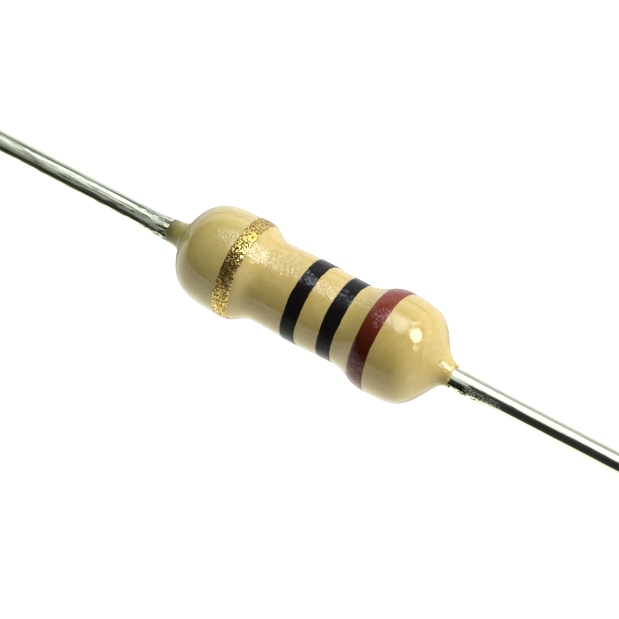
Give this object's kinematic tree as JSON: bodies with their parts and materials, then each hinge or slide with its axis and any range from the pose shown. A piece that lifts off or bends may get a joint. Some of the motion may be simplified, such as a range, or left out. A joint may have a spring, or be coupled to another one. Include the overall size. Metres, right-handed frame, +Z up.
{
  "type": "axial resistor",
  "caption": "Half-watt carbon film resistor with a lacquered dog-bone body, a colour code of four bands, and straight tinned axial leads.",
  "frame": {"origin": "middle of the resistor, on the axis of the body and the leads", "axes": "+X along the leads, towards the end with the first digit band; +Y and +Z across the body, +Z up"},
  "size_m": [0.065, 0.0032, 0.0032],
  "materials": {
    "ceramic": "fired, matt",
    "film": "pyrolytic carbon, dull metallic grey",
    "cap_steel": "pressed, tin plated",
    "tinned_wire": "drawn and tinned, bright",
    "tan_lacquer": "dipped lacquer, glossy",
    "brown_paint": "printed, glossy",
    "black_paint": "printed, glossy",
    "gold_paint": "printed, metal flake"
  },
  "bodies": {
    "root": {"ceramic_rod": "ceramic", "carbon_film": "film", "end_cap_left": "cap_steel", "end_cap_right": "cap_steel", "lead_left": "tinned_wire", "lead_right": "tinned_wire", "lacquer_coating": "tan_lacquer", "band_first_digit": "brown_paint", "band_second_digit": "black_paint", "band_multiplier": "black_paint", "band_tolerance": "gold_paint"}
  },
  "joints": []
}
